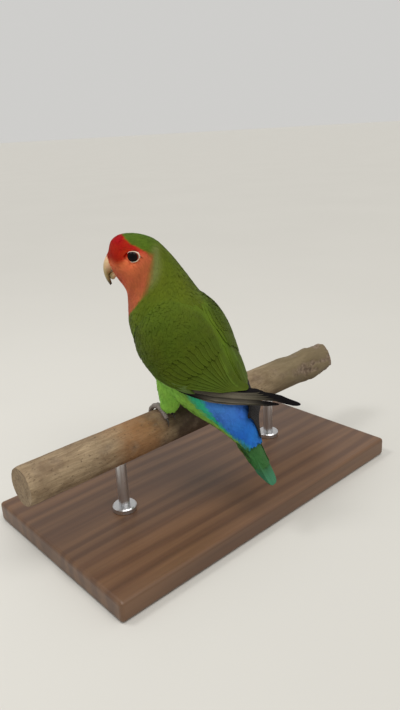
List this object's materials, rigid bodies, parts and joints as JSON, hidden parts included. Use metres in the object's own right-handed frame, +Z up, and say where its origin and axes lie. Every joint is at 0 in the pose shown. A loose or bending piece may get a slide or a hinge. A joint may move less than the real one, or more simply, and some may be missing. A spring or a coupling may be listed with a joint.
{
  "type": "peach faced lovebird model",
  "caption": "Life-size peach faced lovebird, head turned to its left, gripping a short cut length of round wooden perch that rods hold over a flat display base.",
  "frame": {"origin": "middle of the underside of the flat display base", "axes": "+Z up, +X along the perch towards its near end, -Y the way the bird's breast faces"},
  "size_m": [0.242, 0.1355, 0.1641],
  "materials": {
    "head": "peach and red face feathers under a green crown",
    "neck": "olive green nape over a peach throat",
    "torso": "light green body feathers",
    "tail": "blue tail coverts over green tail feathers",
    "wing_left": "olive green wing feathers with blackish tips",
    "wing_right": "olive green wing feathers with blackish tips",
    "leg_left": "light green thigh feathers over a scaly grey foot",
    "leg_right": "light green thigh feathers over a scaly grey foot",
    "upper_bill": "horn coloured bill with a dark tip",
    "lower_bill": "horn coloured bill",
    "eye_left": "glossy dark eye",
    "eye_right": "glossy dark eye",
    "perch": "worn natural wood, gnawed at the far end",
    "stand_base": "satin dark wood",
    "stand_rod_near": "brushed steel",
    "stand_rod_far": "brushed steel"
  },
  "bodies": {
    "root": {"head": "head", "neck": "neck", "torso": "torso", "tail": "tail", "wing_left": "wing_left", "wing_right": "wing_right", "leg_left": "leg_left", "leg_right": "leg_right", "upper_bill": "upper_bill", "lower_bill": "lower_bill", "eye_left": "eye_left", "eye_right": "eye_right", "perch": "perch", "stand_base": "stand_base", "stand_rod_near": "stand_rod_near", "stand_rod_far": "stand_rod_far"}
  },
  "joints": []
}
